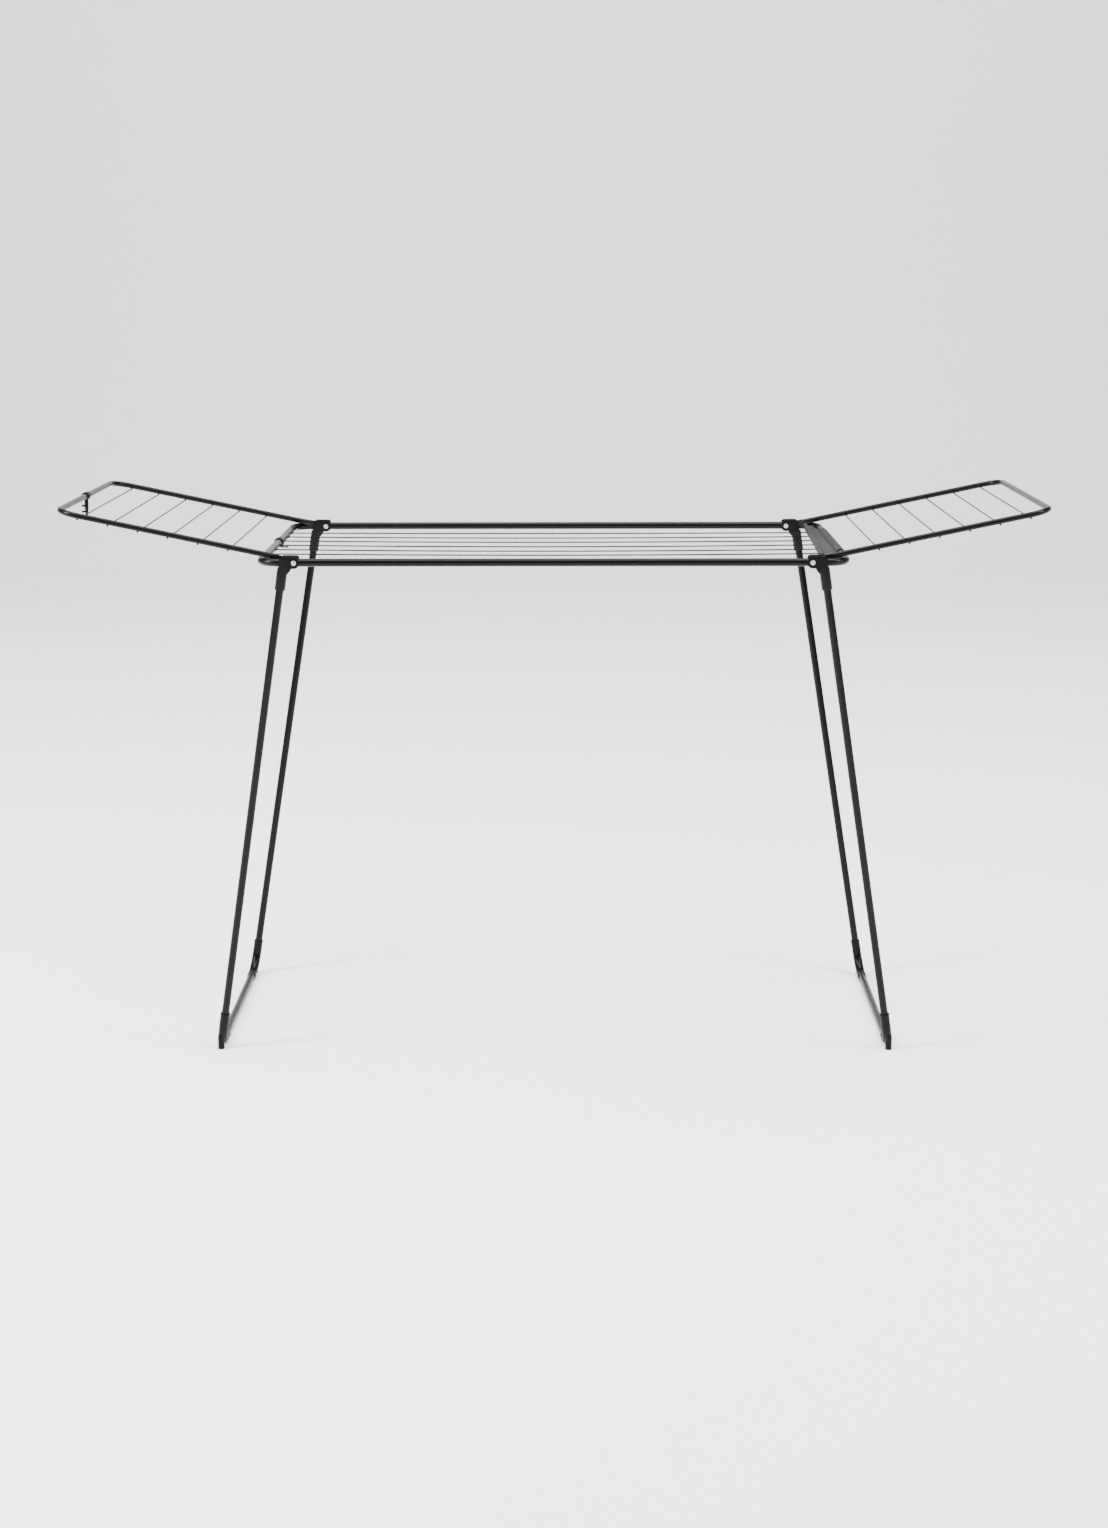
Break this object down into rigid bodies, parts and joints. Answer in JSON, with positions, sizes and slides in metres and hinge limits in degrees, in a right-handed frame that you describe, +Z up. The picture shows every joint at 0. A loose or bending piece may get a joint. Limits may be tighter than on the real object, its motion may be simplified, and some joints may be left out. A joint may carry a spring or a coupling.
{
  "type": "clothes airer",
  "caption": "free-standing folding clothes airer: wired centre frame between two folding leg frames, with a wired wing on each end that swings up and over for storage",
  "frame": {"origin": "on the floor, under the middle of the airer", "axes": "+X along the long tubes towards the end panel, +Y from front to back, +Z up"},
  "size_m": [1.7611, 0.5624, 1.0112],
  "materials": {
    "tube_coat": "matt black powder coat",
    "wire_coat": "matt black powder coat on thin wire",
    "fitting_plastic": "fine-grained black moulding",
    "panel_plastic": "dark grey moulding",
    "rivet_steel": "bright zinc plated"
  },
  "bodies": {
    "centre_frame": {"centre_frame_tube": "tube_coat", "centre_wire_1": "wire_coat", "centre_wire_2": "wire_coat", "centre_wire_3": "wire_coat", "centre_wire_4": "wire_coat", "centre_wire_5": "wire_coat", "centre_wire_6": "wire_coat", "hinge_rivets": "rivet_steel", "end_panel": "panel_plastic", "frame_clip": "fitting_plastic"},
    "left_legs": {"left_leg_tube": "tube_coat", "left_front_leg_bracket": "fitting_plastic", "left_front_foot": "fitting_plastic", "left_back_leg_bracket": "fitting_plastic", "left_back_foot": "fitting_plastic"},
    "left_wing": {"left_wing_tube": "tube_coat", "left_wing_wire_1": "wire_coat", "left_wing_wire_2": "wire_coat", "left_wing_wire_3": "wire_coat", "left_wing_wire_4": "wire_coat", "left_wing_wire_5": "wire_coat", "left_wing_wire_6": "wire_coat"},
    "right_legs": {"right_leg_tube": "tube_coat", "right_front_leg_bracket": "fitting_plastic", "right_front_foot": "fitting_plastic", "right_back_leg_bracket": "fitting_plastic", "right_back_foot": "fitting_plastic"},
    "right_wing": {"right_wing_tube": "tube_coat", "right_wing_wire_1": "wire_coat", "right_wing_wire_2": "wire_coat", "right_wing_wire_3": "wire_coat", "right_wing_wire_4": "wire_coat", "right_wing_wire_5": "wire_coat", "right_wing_wire_6": "wire_coat"},
    "wing_catch": {"wing_catch": "fitting_plastic"}
  },
  "joints": [
    {"name": "left_leg_fold", "type": "hinge", "parent": "centre_frame", "child": "left_legs", "pos_m": [-0.455, 0, 0.915], "axis": [0, -1, 0], "range_deg": [0, 99.14]},
    {"name": "right_leg_fold", "type": "hinge", "parent": "centre_frame", "child": "right_legs", "pos_m": [0.455, 0, 0.915], "axis": [0, 1, 0], "range_deg": [0, 97.14]},
    {"name": "left_wing_fold", "type": "hinge", "parent": "centre_frame", "child": "left_wing", "pos_m": [-0.455, 0, 0.915], "axis": [0, 1, 0], "range_deg": [0, 167]},
    {"name": "right_wing_fold", "type": "hinge", "parent": "centre_frame", "child": "right_wing", "pos_m": [0.455, 0, 0.915], "axis": [0, -1, 0], "range_deg": [0, 167]},
    {"name": "catch_swing", "type": "hinge", "parent": "left_wing", "child": "wing_catch", "pos_m": [-0.8732, 0, 1.00372], "axis": [0, 1, 0], "range_deg": [-60, 100]}
  ]
}
